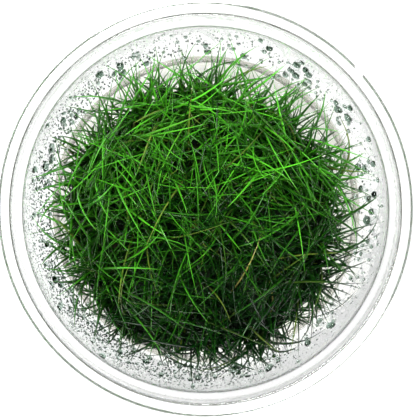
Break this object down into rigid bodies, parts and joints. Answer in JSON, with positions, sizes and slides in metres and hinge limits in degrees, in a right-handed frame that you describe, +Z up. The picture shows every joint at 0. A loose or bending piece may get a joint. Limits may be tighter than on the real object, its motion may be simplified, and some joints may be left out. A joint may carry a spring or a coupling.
{
  "type": "tissue culture dwarf hairgrass in a cup",
  "caption": "Dense lawn of dwarf hairgrass grown in clear nutrient gel, in an open clear plastic culture cup with a turned-down rim.",
  "frame": {"origin": "centre of the foot ring, on the surface that the cup stands on", "axes": "+Z up along the cup's axis; +Y towards the top of the picture and +X to its right"},
  "size_m": [0.1, 0.1, 0.06],
  "materials": {
    "clear_plastic": "gloss",
    "clear_gel": "gloss",
    "grass_green": "satin",
    "water_drops": "gloss"
  },
  "bodies": {
    "root": {"cup": "clear_plastic", "gel": "clear_gel", "tuft_01": "grass_green", "tuft_02": "grass_green", "tuft_03": "grass_green", "tuft_04": "grass_green", "tuft_05": "grass_green", "tuft_06": "grass_green", "tuft_07": "grass_green", "tuft_08": "grass_green", "tuft_09": "grass_green", "tuft_10": "grass_green", "tuft_11": "grass_green", "tuft_12": "grass_green", "tuft_13": "grass_green", "tuft_14": "grass_green", "tuft_15": "grass_green", "tuft_16": "grass_green", "tuft_17": "grass_green", "tuft_18": "grass_green", "tuft_19": "grass_green"}
  },
  "joints": []
}
